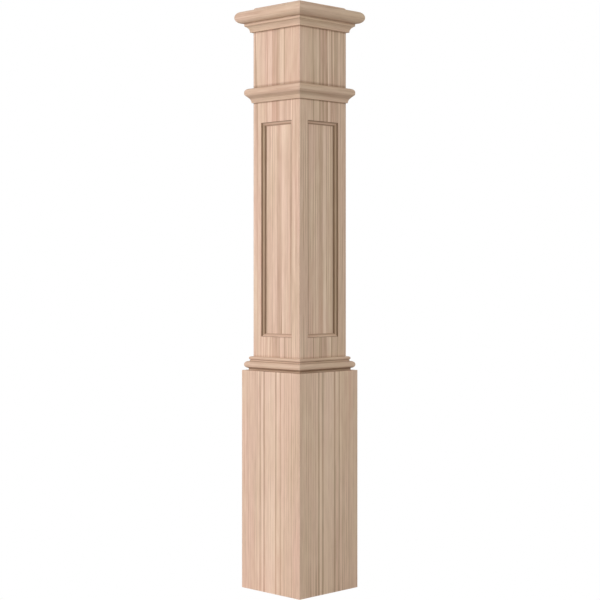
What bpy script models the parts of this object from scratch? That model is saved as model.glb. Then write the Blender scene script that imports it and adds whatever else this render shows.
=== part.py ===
"""Box newel post with recessed panels.

A hollow square shaft of four mitred boards, a plain lower block of four more boards round its
foot, mitred mouldings at the base, the neck and the cap, and a flat top panel. Metres, +Z up,
origin at the centre of the underside. The front face looks along -Y."""

import math

import bmesh
import bpy
from mathutils import Matrix

# Clearance between neighbouring pieces, and how finely round stretches are divided
FIT_GAP = 0.0003
ARC_STEPS = 16

# Box shaft
SHAFT_WIDTH = 0.158
BOARD_THICKNESS = 0.019
STILE_WIDTH = 0.027
LOWER_RAIL_HEIGHT = 0.0487
OPENING_HEIGHT = 0.5133
UPPER_RAIL_HEIGHT = 0.0498
UPPER_BLOCK_HEIGHT = 0.1353

# Lower block round the foot of the shaft
BLOCK_HEIGHT = 0.525
BLOCK_BOARD_THICKNESS = 0.0195

# Recessed panels and the rabbet that holds them
PANEL_SET_BACK = 0.009
PANEL_THICKNESS = 0.006
RABBET_WIDTH = 0.005

# Panel moulding: a lip at the opening's edge, a sloping band, a steep drop and a thin foot
PANEL_MOULD_WIDTH = 0.008
PANEL_MOULD_HEIGHT = 0.006
PANEL_MOULD_LIP = 0.0017
PANEL_BAND_WIDTH = 0.0035
PANEL_BAND_FALL = 0.0036
PANEL_BAND_BOW = 0.0003
PANEL_DROP_RUN = 0.0003
PANEL_FOOT_HEIGHT = 0.0008
PANEL_MOULD_EDGE = 0.0004

# Depth of the shallow grooves that seat the necking and the cap cove in the shaft boards
HOUSING_DEPTH = 0.001

# Base moulding: a low foot, a torus, a narrow fillet and a bead
BASE_FOOT_PROJECTION = 0.0081
BASE_FOOT_HEIGHT = 0.0049
TORUS_PROJECTION = 0.0163
TORUS_RADIUS = 0.0083
BASE_FILLET_PROJECTION = 0.0062
BASE_FILLET_HEIGHT = 0.0033
BEAD_PROJECTION = 0.008
BEAD_RADIUS = 0.004

# Necking moulding: a rounded nose, a 45 degree slope and a cove, down to a thin foot
NECK_PROJECTION = 0.016
NECK_TOP_ROUND_WIDTH = 0.0105
NECK_TOP_ROUND_HEIGHT = 0.0085
NECK_NOSE_FLAT = 0.004
NECK_UNDER_RADIUS = 0.006
NECK_COVE_RADIUS = 0.0179
NECK_FOOT_PROJECTION = 0.0034

# Cap cove: a fillet, a cove and a wider fillet above it
COVE_LOW_PROJECTION = 0.006
COVE_LOW_FILLET = 0.0008
COVE_RADIUS = 0.015
COVE_TOP_PROJECTION = 0.0158
COVE_TOP_FILLET = 0.0062

# Cap bullnose and the top panel
BULLNOSE_THICKNESS = 0.0293
BULLNOSE_PROJECTION = 0.0329
TOP_PANEL_THICKNESS = 0.019
TOP_PANEL_RISE = 0.009
TOP_PANEL_ROUND = 0.006
TOP_PANEL_ROUND_STEPS = 6

# Sizes and heights worked out from the ones above
SHAFT_HALF = SHAFT_WIDTH / 2
MOULDING_BACK = SHAFT_HALF + FIT_GAP
HOUSED_BACK = MOULDING_BACK - HOUSING_DEPTH
MITRE_SET_BACK = FIT_GAP / math.sqrt(2)
TORUS_CENTRE = SHAFT_HALF + TORUS_PROJECTION - TORUS_RADIUS
FOOT_FACE = SHAFT_HALF + BASE_FOOT_PROJECTION
TORUS_START = math.acos(max(FOOT_FACE - TORUS_CENTRE, 0) / TORUS_RADIUS)
TORUS_HEIGHT = TORUS_RADIUS * (1 + math.sin(TORUS_START))
BASE_HEIGHT = BASE_FOOT_HEIGHT + TORUS_HEIGHT + BASE_FILLET_HEIGHT + 2 * BEAD_RADIUS
SLOPE = math.radians(45)
NECK_SLOPE_RUN = (
    NECK_PROJECTION
    - NECK_FOOT_PROJECTION
    - (NECK_UNDER_RADIUS + NECK_COVE_RADIUS) * (1 - math.cos(SLOPE))
)
NECK_COVE_RISE = NECK_COVE_RADIUS * math.sin(SLOPE)
NECK_UNDER_RISE = NECK_UNDER_RADIUS * math.sin(SLOPE)
NECK_HEIGHT = (
    NECK_COVE_RISE + NECK_SLOPE_RUN + NECK_UNDER_RISE + NECK_NOSE_FLAT + NECK_TOP_ROUND_HEIGHT
)
COVE_REACH = COVE_TOP_PROJECTION - COVE_LOW_PROJECTION
COVE_END = math.acos((COVE_REACH - COVE_RADIUS) / COVE_RADIUS)
COVE_RISE = COVE_RADIUS * math.sin(COVE_END)
COVE_HEIGHT = COVE_LOW_FILLET + COVE_RISE + COVE_TOP_FILLET
OPENING_WIDTH = SHAFT_WIDTH - 2 * STILE_WIDTH

BASE_BOTTOM = BLOCK_HEIGHT + FIT_GAP
OPENING_BOTTOM = BASE_BOTTOM + BASE_HEIGHT + LOWER_RAIL_HEIGHT
OPENING_MIDDLE = OPENING_BOTTOM + OPENING_HEIGHT / 2
NECK_BOTTOM = OPENING_BOTTOM + OPENING_HEIGHT + UPPER_RAIL_HEIGHT
NECK_TOP = NECK_BOTTOM + NECK_HEIGHT
COVE_BOTTOM = NECK_TOP + UPPER_BLOCK_HEIGHT
BULLNOSE_BOTTOM = COVE_BOTTOM + COVE_HEIGHT + FIT_GAP
POST_HEIGHT = BULLNOSE_BOTTOM + BULLNOSE_THICKNESS + TOP_PANEL_RISE
TOP_PANEL_BOTTOM = POST_HEIGHT - TOP_PANEL_THICKNESS
SHAFT_TOP = TOP_PANEL_BOTTOM - FIT_GAP

# Base colours of the bare wood, with its roughness
SHAFT_COLOUR = (0.67, 0.47, 0.36)
BLOCK_COLOUR = (0.68, 0.48, 0.37)
PANEL_COLOUR = (0.66, 0.47, 0.36)
MOULDING_COLOUR = (0.65, 0.45, 0.34)
TOP_COLOUR = (0.66, 0.46, 0.35)
WOOD_ROUGHNESS = 0.62

# Names of the four faces, each a quarter turn about +Z after the one before
FACES = ("front", "right", "back", "left")

# An outline's first axis looks out of the front face and its second one looks up
OUT_AND_UP = Matrix(((0, 0, -1, 0), (-1, 0, 0, 0), (0, 1, 0, 0), (0, 0, 0, 1)))

# An outline's first axis looks up the front face and its second one looks out of it
UP_AND_OUT = Matrix(((0, 0, 1, 0), (0, -1, 0, 0), (1, 0, 0, 0), (0, 0, 0, 1)))


def clear_scene():
    for existing in list(bpy.data.objects):
        bpy.data.objects.remove(existing)


def collection(name):
    made = bpy.data.collections.new(name)
    bpy.context.scene.collection.children.link(made)
    return made


def wood(name, colour):
    """A bare wood finish."""
    finish = bpy.data.materials.new(name)
    finish.use_nodes = True
    shader = finish.node_tree.nodes["Principled BSDF"]
    shader.inputs["Base Color"].default_value = (*colour, 1)
    shader.inputs["Roughness"].default_value = WOOD_ROUGHNESS
    shader.inputs["Metallic"].default_value = 0
    return finish


def arc(centre, width, start, end, height=None):
    """Points on a circle from angle start to angle end, in radians, with both ends.

    The width is its radius; with a height of its own it becomes an ellipse."""
    height = width if height is None else height
    angles = [start + (end - start) * step / ARC_STEPS for step in range(ARC_STEPS + 1)]
    return [(centre[0] + width * math.cos(a), centre[1] + height * math.sin(a)) for a in angles]


def bowed(start, end, bow):
    """Points on a parabola from start to end that stands off their chord, to its left."""
    along = (end[0] - start[0], end[1] - start[1])
    length = math.hypot(*along)
    points = []
    for step in range(ARC_STEPS // 2 + 1):
        share = step / (ARC_STEPS // 2)
        stand_off = 4 * bow * share * (1 - share) / length
        points.append(
            (
                start[0] + along[0] * share - along[1] * stand_off,
                start[1] + along[1] * share + along[0] * stand_off,
            )
        )
    return points


def shaft_outline():
    """A shaft board seen along its mitres: a plain board with two shallow housings."""
    groove = SHAFT_HALF - HOUSING_DEPTH
    points = [(SHAFT_HALF - BOARD_THICKNESS, 0), (SHAFT_HALF, 0)]
    for low, height in ((NECK_BOTTOM, NECK_HEIGHT), (COVE_BOTTOM, COVE_HEIGHT)):
        for level, order in ((low - FIT_GAP, 1), (low + height + FIT_GAP, -1)):
            points += [(SHAFT_HALF, level), (groove, level)][::order]
    return [*points, (SHAFT_HALF, SHAFT_TOP), (SHAFT_HALF - BOARD_THICKNESS, SHAFT_TOP)]


def block_outline():
    """A plain board of the lower block."""
    inner = MOULDING_BACK
    outer = inner + BLOCK_BOARD_THICKNESS
    return [(inner, 0), (outer, 0), (outer, BLOCK_HEIGHT), (inner, BLOCK_HEIGHT)]


def base_outline():
    """Base moulding: distance from the post's axis against height above the moulding's foot."""
    torus_middle = (TORUS_CENTRE, BASE_FOOT_HEIGHT + TORUS_RADIUS * math.sin(TORUS_START))
    bead_centre = SHAFT_HALF + BEAD_PROJECTION - BEAD_RADIUS
    fillet_face = SHAFT_HALF + BASE_FILLET_PROJECTION
    fillet_bottom = BASE_FOOT_HEIGHT + TORUS_HEIGHT
    return [
        (MOULDING_BACK, 0),
        (FOOT_FACE, 0),
        (FOOT_FACE, BASE_FOOT_HEIGHT),
        *arc(torus_middle, TORUS_RADIUS, -TORUS_START, math.pi / 2),
        (fillet_face, fillet_bottom),
        (fillet_face, fillet_bottom + BASE_FILLET_HEIGHT),
        *arc((bead_centre, BASE_HEIGHT - BEAD_RADIUS), BEAD_RADIUS, -math.pi / 2, math.pi / 2),
        (MOULDING_BACK, BASE_HEIGHT),
    ]


def neck_outline():
    """Necking moulding, drawn from its foot up: cove, slope, rounded nose and flat top."""
    foot = SHAFT_HALF + NECK_FOOT_PROJECTION
    nose = SHAFT_HALF + NECK_PROJECTION
    nose_bottom = NECK_COVE_RISE + NECK_SLOPE_RUN + NECK_UNDER_RISE
    under_middle = (nose - NECK_UNDER_RADIUS, nose_bottom)
    top_middle = (nose - NECK_TOP_ROUND_WIDTH, nose_bottom + NECK_NOSE_FLAT)
    return [
        (HOUSED_BACK, 0),
        *arc((foot + NECK_COVE_RADIUS, 0), NECK_COVE_RADIUS, math.pi, math.pi - SLOPE),
        *arc(under_middle, NECK_UNDER_RADIUS, -SLOPE, 0),
        *arc(top_middle, NECK_TOP_ROUND_WIDTH, 0, math.pi / 2, NECK_TOP_ROUND_HEIGHT),
        (HOUSED_BACK, NECK_HEIGHT),
    ]


def cove_outline():
    """Cap cove: a low fillet, a hollow cove and a high fillet that meets the cap."""
    low = SHAFT_HALF + COVE_LOW_PROJECTION
    high = SHAFT_HALF + COVE_TOP_PROJECTION
    return [
        (HOUSED_BACK, 0),
        (low, 0),
        *arc((low + COVE_RADIUS, COVE_LOW_FILLET), COVE_RADIUS, math.pi, COVE_END),
        (high, COVE_HEIGHT),
        (HOUSED_BACK, COVE_HEIGHT),
    ]


def bullnose_outline():
    """Cap bullnose: a half-round edge on a flat slab."""
    radius = BULLNOSE_THICKNESS / 2
    middle = (SHAFT_HALF + BULLNOSE_PROJECTION - radius, radius)
    return [
        (MOULDING_BACK, 0),
        *arc(middle, radius, -math.pi / 2, math.pi / 2),
        (MOULDING_BACK, BULLNOSE_THICKNESS),
    ]


def panel_mould_outline():
    """Panel moulding: distance from the opening's middle line against height above the panel."""
    wall = OPENING_WIDTH / 2 - FIT_GAP
    inner = wall - PANEL_MOULD_WIDTH
    band_top = (wall - PANEL_MOULD_LIP, PANEL_MOULD_HEIGHT)
    band_foot = (band_top[0] - PANEL_BAND_WIDTH, PANEL_MOULD_HEIGHT - PANEL_BAND_FALL)
    return [
        (inner, 0),
        (wall, 0),
        (wall, PANEL_MOULD_HEIGHT),
        *bowed(band_top, band_foot, -PANEL_BAND_BOW),
        (band_foot[0] - PANEL_DROP_RUN, PANEL_FOOT_HEIGHT),
        (inner, PANEL_MOULD_EDGE),
    ]


def distinct(points):
    """The points of a closed outline without any that repeats the one before it."""
    shortest = FIT_GAP / 100
    before = [points[-1], *points[:-1]]
    return [p for p, q in zip(points, before) if math.dist(p, q) > shortest]


def mitred_length(name, outline, turn, extra=0.0):
    """A mesh with one outline all along it and both ends cut at 45 degrees.

    The outline's first value is its distance from the corner lines' meeting point, so each end
    reaches out by that distance plus extra, less the set-back that leaves the mitre its gap."""
    curve = bpy.data.curves.new(name, "CURVE")
    curve.dimensions = "2D"
    curve.fill_mode = "BOTH"
    curve.extrude = SHAFT_HALF
    spline = curve.splines.new("POLY")
    corners = distinct(outline)
    spline.points.add(len(corners) - 1)
    for point, (x, y) in zip(spline.points, corners):
        point.co = (x, y, 0, 1)
    spline.use_cyclic_u = True
    drawn = bpy.data.objects.new(name, curve)
    bpy.context.scene.collection.objects.link(drawn)
    graph = bpy.context.evaluated_depsgraph_get()
    mesh = bpy.data.meshes.new_from_object(drawn.evaluated_get(graph))
    bpy.data.objects.remove(drawn)

    shape = bmesh.new()
    shape.from_mesh(mesh)
    bmesh.ops.remove_doubles(shape, verts=shape.verts, dist=FIT_GAP / 100)
    for vertex in shape.verts:
        vertex.co.z = math.copysign(vertex.co.x + extra - MITRE_SET_BACK, vertex.co.z)
    shape.transform(turn)
    shape.normal_update()
    bmesh.ops.recalc_face_normals(shape, faces=shape.faces)
    return keep_mesh(shape, mesh, name)


def keep_mesh(shape, mesh, name):
    shape.to_mesh(mesh)
    shape.free()
    mesh.name = name
    mesh.shade_smooth()
    mesh.set_sharp_from_angle(angle=math.radians(30))
    return mesh


def box(name, low, high):
    """A box mesh between two corners."""
    shape = bmesh.new()
    bmesh.ops.create_cube(shape, size=1)
    for vertex in shape.verts:
        for axis in range(3):
            vertex.co[axis] = high[axis] if vertex.co[axis] > 0 else low[axis]
    return keep_mesh(shape, bpy.data.meshes.new(name), name)


def panelled_board(cutters):
    """A shaft board with its opening, and a rabbet behind it for the panel."""
    half_width = OPENING_WIDTH / 2
    half_height = OPENING_HEIGHT / 2
    past_faces = BOARD_THICKNESS
    rabbet_front = PANEL_SET_BACK - FIT_GAP - SHAFT_HALF
    opening = box(
        "opening_cutter",
        (-half_width, -SHAFT_HALF - past_faces, OPENING_MIDDLE - half_height),
        (half_width, past_faces + BOARD_THICKNESS - SHAFT_HALF, OPENING_MIDDLE + half_height),
    )
    rabbet = box(
        "rabbet_cutter",
        (-half_width - RABBET_WIDTH, rabbet_front, OPENING_BOTTOM - RABBET_WIDTH),
        (
            half_width + RABBET_WIDTH,
            past_faces + BOARD_THICKNESS - SHAFT_HALF,
            OPENING_BOTTOM + OPENING_HEIGHT + RABBET_WIDTH,
        ),
    )
    blank_mesh = mitred_length("board_blank", shaft_outline(), OUT_AND_UP)
    blank = bpy.data.objects.new("board_blank", blank_mesh)
    cutters.objects.link(blank)
    for mesh in (opening, rabbet):
        cutter = bpy.data.objects.new(mesh.name, mesh)
        cutter.hide_render = True
        cutter.display_type = "WIRE"
        cutters.objects.link(cutter)
        cut = blank.modifiers.new(mesh.name, "BOOLEAN")
        cut.operation = "DIFFERENCE"
        cut.solver = "EXACT"
        cut.object = cutter
    graph = bpy.context.evaluated_depsgraph_get()
    made = bpy.data.meshes.new_from_object(blank.evaluated_get(graph))
    made.name = "shaft_board"
    bpy.data.objects.remove(blank)
    return made


def recessed_panel():
    """The thin panel that lies in the rabbet, measured from the middle of its opening."""
    half_width = OPENING_WIDTH / 2 + RABBET_WIDTH - FIT_GAP
    half_height = OPENING_HEIGHT / 2 + RABBET_WIDTH - FIT_GAP
    return box(
        "recessed_panel",
        (-half_width, PANEL_SET_BACK, -half_height),
        (half_width, PANEL_SET_BACK + PANEL_THICKNESS, half_height),
    )


def top_panel():
    """The lid on the shaft, with its four top edges rounded."""
    mesh = box(
        "top_panel",
        (-SHAFT_HALF, -SHAFT_HALF, TOP_PANEL_BOTTOM),
        (SHAFT_HALF, SHAFT_HALF, POST_HEIGHT),
    )
    shape = bmesh.new()
    shape.from_mesh(mesh)
    middle = (TOP_PANEL_BOTTOM + POST_HEIGHT) / 2
    rim = [e for e in shape.edges if min(v.co.z for v in e.verts) > middle]
    bmesh.ops.bevel(
        shape,
        geom=rim,
        offset=TOP_PANEL_ROUND,
        segments=TOP_PANEL_ROUND_STEPS,
        profile=0.5,
        affect="EDGES",
    )
    return keep_mesh(shape, mesh, "top_panel")


def place(parts, name, mesh, finish, parent, location=(0, 0, 0), roll=0.0):
    """A named piece on a face's empty, moved on it and rolled about the face's normal."""
    piece = bpy.data.objects.new(name, mesh)
    if not mesh.materials:
        mesh.materials.append(finish)
    piece.parent = parent
    piece.location = location
    piece.rotation_euler = (0, roll, 0)
    parts.objects.link(piece)
    return piece


def face_kinds(cutters):
    """The pieces that every face has one of: name, mesh, finish and height on the face."""
    return (
        ("shaft_board", panelled_board(cutters), wood("shaft_wood", SHAFT_COLOUR), 0),
        (
            "lower_block_board",
            mitred_length("lower_block_board", block_outline(), OUT_AND_UP),
            wood("block_wood", BLOCK_COLOUR),
            0,
        ),
        (
            "base_moulding",
            mitred_length("base_moulding", base_outline(), OUT_AND_UP),
            wood("base_moulding_wood", MOULDING_COLOUR),
            BASE_BOTTOM,
        ),
        (
            "necking",
            mitred_length("necking", neck_outline(), OUT_AND_UP),
            wood("necking_wood", MOULDING_COLOUR),
            NECK_BOTTOM,
        ),
        (
            "cap_cove",
            mitred_length("cap_cove", cove_outline(), OUT_AND_UP),
            wood("cap_cove_wood", MOULDING_COLOUR),
            COVE_BOTTOM,
        ),
        (
            "cap_bullnose",
            mitred_length("cap_bullnose", bullnose_outline(), OUT_AND_UP),
            wood("cap_bullnose_wood", TOP_COLOUR),
            BULLNOSE_BOTTOM,
        ),
    )


def panel_frame():
    """The four strips round a panel: name, mesh and roll about the face's normal."""
    outline = panel_mould_outline()
    taller = (OPENING_HEIGHT - OPENING_WIDTH) / 2
    across = mitred_length("panel_mould_across", outline, Matrix.Translation((0, 0, taller)) @ UP_AND_OUT)
    upright = mitred_length("panel_mould_upright", outline, UP_AND_OUT, taller)
    return (
        ("top", across, 0),
        ("right", upright, math.pi / 2),
        ("bottom", across, math.pi),
        ("left", upright, -math.pi / 2),
    )


def build_post():
    clear_scene()
    parts = collection("newel_post")
    cutters = collection("newel_post_cutters")
    kinds = face_kinds(cutters)
    panel_mesh = recessed_panel()
    panel_finish = wood("panel_wood", PANEL_COLOUR)
    strips = panel_frame()
    strip_finish = wood("panel_moulding_wood", MOULDING_COLOUR)
    on_panel = (0, PANEL_SET_BACK - FIT_GAP - SHAFT_HALF, OPENING_MIDDLE)

    for quarter, side in enumerate(FACES):
        face = bpy.data.objects.new(f"{side}_face", None)
        face.rotation_euler = (0, 0, quarter * math.pi / 2)
        parts.objects.link(face)
        for name, mesh, finish, height in kinds:
            place(parts, f"{name}_{side}", mesh, finish, face, (0, 0, height))
        place(
            parts,
            f"recessed_panel_{side}",
            panel_mesh,
            panel_finish,
            face,
            (0, -SHAFT_HALF, OPENING_MIDDLE),
        )
        for name, mesh, roll in strips:
            strip_name = f"panel_moulding_{side}_{name}"
            place(parts, strip_name, mesh, strip_finish, face, on_panel, roll)

    place(parts, "top_panel", top_panel(), wood("top_panel_wood", TOP_COLOUR), None)


build_post()
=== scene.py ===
"""Box newel post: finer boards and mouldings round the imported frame, bare wood and a stage.

Metres, +Z up, the front face looking along -Y. Every piece is worked out for the front face and
then turned by quarter turns about +Z, so each finished object sits at the origin, unturned."""

import math

import bmesh
import bpy
import numpy as np
from bpy.props import FloatProperty, FloatVectorProperty, PointerProperty
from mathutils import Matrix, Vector


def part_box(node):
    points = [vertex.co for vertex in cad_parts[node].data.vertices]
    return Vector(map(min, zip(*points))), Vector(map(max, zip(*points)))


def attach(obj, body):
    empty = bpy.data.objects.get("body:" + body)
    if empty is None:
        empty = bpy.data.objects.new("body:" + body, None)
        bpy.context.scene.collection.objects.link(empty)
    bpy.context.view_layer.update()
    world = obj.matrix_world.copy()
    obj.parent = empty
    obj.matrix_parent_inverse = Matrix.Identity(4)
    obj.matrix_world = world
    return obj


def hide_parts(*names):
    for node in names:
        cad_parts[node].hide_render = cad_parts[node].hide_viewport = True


bl_info = {
    "name": "Box newel post",
    "version": (1, 0, 0),
    "blender": (4, 5, 0),
    "location": "3D View > Sidebar > Newel post",
    "description": "Builds the boards, mouldings and bare-wood finishes of a panelled newel post",
    "category": "Add Mesh",
}

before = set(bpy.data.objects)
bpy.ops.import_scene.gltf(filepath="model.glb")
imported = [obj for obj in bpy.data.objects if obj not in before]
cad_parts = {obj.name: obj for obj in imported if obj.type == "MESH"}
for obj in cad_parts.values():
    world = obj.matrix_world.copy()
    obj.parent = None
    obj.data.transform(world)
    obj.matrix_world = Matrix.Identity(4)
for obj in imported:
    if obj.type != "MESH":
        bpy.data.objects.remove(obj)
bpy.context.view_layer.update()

SIDES = ("front", "right", "back", "left")

# Sizes that come from the frame
SHAFT_LOW, SHAFT_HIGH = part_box("shaft_board_front")
BLOCK_LOW, BLOCK_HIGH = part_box("lower_block_board_front")
PANEL_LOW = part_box("recessed_panel_front")[0]
STRIP_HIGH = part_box("panel_moulding_front_top")[1]
FOOT_STRIP_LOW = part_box("panel_moulding_front_bottom")[0]
LID_LOW, LID_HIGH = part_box("top_panel")
SHAFT_HALF = -SHAFT_LOW.y
SHAFT_INSIDE = -SHAFT_HIGH.y
BLOCK_HALF = -BLOCK_LOW.y
BLOCK_INSIDE = -BLOCK_HIGH.y
PANEL_FACE = -PANEL_LOW.y

# The CAD clearance between two pieces, and the hair line that a closed joint keeps here
CAD_GAP = 0.0003
HAIR_LINE = 0.00002

# Two points nearer than this are one
SAME_POINT = HAIR_LINE / 10

# Points on a round stretch, on a board's outer edge, on an eased corner and along a moulding
ARC_POINTS = 25
EDGE_POINTS = 9
EASE_POINTS = 5
STATIONS = 3

# Rounding of a moulding's and of a strip's sharp corners, which takes at most this share of the
# shorter side beside it
MOULDING_EASE = 0.0004
STRIP_EASE = 0.0003
EASE_SHARE = 0.4

# A flat longer than LONG_FLAT gets a point this near to its corners, which keeps it flat
HOLD = 0.00018
LONG_FLAT = 0.0012

# Faces that meet at more than this angle are shaded with an edge between them
SHARP_ANGLE = math.radians(28)

# Slope of the necking between its cove and its nose
SLOPE = math.radians(45)

# Axes of the front face along which painted crease shade may lie, and the share of its reach that
# is painted fully dark
WIDTH = 0
DEPTH = 1
HEIGHT = 2
PAINTED_SHADE_CORE = 0.45

# Painted shade in the inner corners, where shadow falls: how far each one reaches to both sides of
# its corner, and how strong it is
WALL_PAINTED_SHADE = (0.0034, 1.0)
NECKING_TOP_PAINTED_SHADE = (0.008, 0.6)
NECKING_FOOT_PAINTED_SHADE = (0.0035, 0.7)
COVE_FOOT_PAINTED_SHADE = (0.004, 0.45)
BEAD_TOP_PAINTED_SHADE = (0.005, 0.25)
PANEL_EDGE_PAINTED_SHADE = (0.005, 0.5)
BASE_FOOT_PAINTED_SHADE = (0.0038, 1.0)
FILLET_PAINTED_SHADE = (0.0014, 0.45)
UNDER_NOSE_PAINTED_SHADE = (0.005, 0.34)
NOSE_TOP_PAINTED_SHADE = (0.0022, 0.5)
COVE_TOP_PAINTED_SHADE = (0.004, 0.35)

# The painted shade on an opening's wall is darkest this far behind the face, and the painted
# shade on the base moulding's foot this far below the foot's top
WALL_PAINTED_SHADE_DEPTH = 0.0034
BASE_FOOT_PAINTED_SHADE_DROP = 0.0006

# The painted shade of the strips round a panel: the reach past the foot's thickness and the
# strength at each foot, and the reach and strength at each lip
STRIP_FOOT_SHADE_REACH = 0.0014
STRIP_FOOT_PAINTED_SHADES = {"top": 0.85, "right": 1.0, "bottom": 0.55, "left": 1.0}
STRIP_LIP_PAINTED_SHADES = {"top": (0.0006, 0.6), "right": (0.0008, 1.0), "left": (0.0008, 1.0)}

# The stage: half the floor's width, the height on the unit sphere of the sky from which it is
# as dim as overhead, the sky's colour, the large soft light and the camera's sensor in mm
FLOOR_REACH = 30.0
DIM_FROM = 0.9
SKY_COLOUR = (0.97, 1.0, 0.955)
KEY_COLOUR = (0.98, 0.91, 0.97)
KEY_SIZE = 5.0
KEY_PLACE = (-5.2, -12.4, 2.2)
KEY_AIM = (0, 0, 0.7)
SENSOR_WIDTH = 36
WHITE = (1, 1, 1, 1)


def length(name, description, default):
    """A size that a user may change, in metres."""
    return FloatProperty(
        name=name,
        description=description,
        default=default,
        min=0,
        precision=5,
        subtype="DISTANCE",
        unit="LENGTH",
    )


def tint(name, description, default):
    """A linear colour that a user may change."""
    return FloatVectorProperty(
        name=name, description=description, default=default, min=0, max=1, subtype="COLOR"
    )


class BoardSizes(bpy.types.PropertyGroup):
    """Sizes of the flat boards that the frame doesn't give."""

    arris: length("Board arris", "Rounding of a board's outer corner", 0.0005)
    opening_arris: length("Opening arris", "Rounding of the panel opening's edge", 0.0003)
    rabbet: length("Rabbet", "How far the panel's rabbet reaches past the opening", 0.005)
    lid_round: length("Lid edge", "Rounding of the top panel's upper edge", 0.006)


class BaseMouldingSizes(bpy.types.PropertyGroup):
    """Sizes of the moulding on the lower block: a low foot, a torus, a fillet and a bead."""

    foot_projection: length("Foot projection", "How far the foot stands off the shaft", 0.0081)
    foot_height: length("Foot height", "Height of the foot under the torus", 0.0049)
    torus_projection: length("Torus projection", "How far the torus stands out", 0.0163)
    torus_radius: length("Torus radius", "Radius of the torus", 0.0083)
    fillet_projection: length("Fillet projection", "How far the fillet stands out", 0.0062)
    fillet: length("Fillet", "Height of the fillet between torus and bead", 0.0033)
    bead_projection: length("Bead projection", "How far the bead stands out", 0.008)
    bead_radius: length("Bead radius", "Radius of the bead", 0.004)


class NeckingSizes(bpy.types.PropertyGroup):
    """Sizes of the moulding between the panels and the upper block."""

    projection: length("Nose projection", "How far the nose stands off the shaft", 0.016)
    round_width: length("Round width", "How far back the nose's upper round reaches", 0.0105)
    round_height: length("Round height", "Height of the nose's upper round", 0.0085)
    nose_flat: length("Nose flat", "Height of the flat between the nose's rounds", 0.004)
    under_radius: length("Under radius", "Radius of the nose's lower round", 0.006)
    cove_radius: length("Cove radius", "Radius of the hollow under the slope", 0.0179)
    foot_projection: length("Foot projection", "How far the foot stands off the shaft", 0.0034)


class CapSizes(bpy.types.PropertyGroup):
    """Sizes of the cove and the bullnose under the top panel."""

    low_projection: length("Low projection", "Projection of the cove's lower fillet", 0.006)
    low_fillet: length("Low fillet", "Height of the cove's lower fillet", 0.0008)
    cove_radius: length("Cove radius", "Radius of the hollow", 0.015)
    top_projection: length("Top projection", "Projection of the cove's upper fillet", 0.0158)
    top_fillet: length("Top fillet", "Height of the cove's upper fillet", 0.0062)
    nose_projection: length("Nose projection", "How far the bullnose stands out", 0.0329)


class PanelMouldingSizes(bpy.types.PropertyGroup):
    """Sizes of the strip round each panel: a lip, a sloping band, a steep drop and a foot."""

    width: length("Width", "Width of the strip on the panel", 0.008)
    height: length("Height", "Height of the strip above the panel", 0.006)
    lip: length("Lip", "Width of the flat lip at the opening's wall", 0.0017)
    band_width: length("Band width", "Width of the sloping band", 0.0035)
    band_fall: length("Band fall", "How far the band slopes down", 0.0036)
    band_bow: length("Band bow", "How far the band swells out of its slope", 0.0003)
    drop: length("Drop", "Width of the steep drop under the band", 0.0003)
    foot: length("Foot", "Thickness of the foot at the drop", 0.0008)
    edge: length("Edge", "Thickness left at the strip's inner edge", 0.0004)


class WoodLook(bpy.types.PropertyGroup):
    """Colours and strengths of the bare wood, and of the shade painted on it."""

    late: tint("Late wood", "The palest wood of a growth ring", (0.88, 0.672, 0.537))
    middle: tint("Middle wood", "The wood's usual colour", (0.722, 0.518, 0.397))
    early: tint("Early wood", "The dark, open-pored start of a growth ring", (0.505, 0.335, 0.242))
    blush: tint("Blush", "Pinkish heart streaks", (0.70, 0.40, 0.295))
    pink: tint("Pink clouds", "Tint of the pinkish parts", (1.0, 0.965, 0.975))
    straw: tint("Straw clouds", "Tint of the yellowish parts", (0.99, 1.0, 0.965))
    moulding: tint("Moulding wood", "Tint of the mouldings against the boards", (0.96, 0.965, 0.95))
    # Painted shade over the whole of each upright strip by a panel, which stands in shade
    painted_recess_shade: tint("Recess wood", "Tint of the upright strips by the panels", (0.79, 0.79, 0.74))
    # Painted shade: the colour that inner corners are darkened toward, where shadow falls
    crease: tint("Creases", "Tint of the dark inner corners", (0.50, 0.45, 0.40))
    end_grain: tint("End grain", "Tint of wood cut across its grain", (0.84, 0.78, 0.72))
    roughness: FloatProperty(
        name="Roughness",
        description="Roughness of the planed face",
        default=0.62,
        min=0,
        max=1,
        subtype="FACTOR",
    )
    relief: FloatProperty(
        name="Grain relief",
        description="Strength of the grain's relief",
        default=0.35,
        min=0,
        max=1,
        subtype="FACTOR",
    )


class StageLook(bpy.types.PropertyGroup):
    """The floor, lights and camera round the post."""

    sky: FloatProperty(
        name="Sky strength", description="Light from all round", default=1.38, min=0
    )
    zenith: FloatProperty(
        name="Zenith",
        description="Share of the sky strength that is left overhead",
        default=0.25,
        min=0,
        max=1,
        subtype="FACTOR",
    )
    key: FloatProperty(
        name="Key power",
        description="Power of the large soft light at the front left",
        default=775,
        min=0,
        unit="POWER",
    )
    floor: tint("Floor", "Colour that the floor gives back to the post", (0.62, 0.62, 0.61))
    distance: length("Camera distance", "Distance of the camera from the post's axis", 3.598)
    eye: length("Eye height", "Height of the camera above the floor", 0.7661)
    lens: FloatProperty(
        name="Lens", description="Focal length on a 36 mm sensor", default=89.3, min=1
    )
    shift_x: FloatProperty(
        name="Lens shift across", description="Share of the picture's width", default=0.0005
    )
    shift_y: FloatProperty(
        name="Lens shift down", description="Share of the picture's width", default=-0.04965
    )


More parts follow.
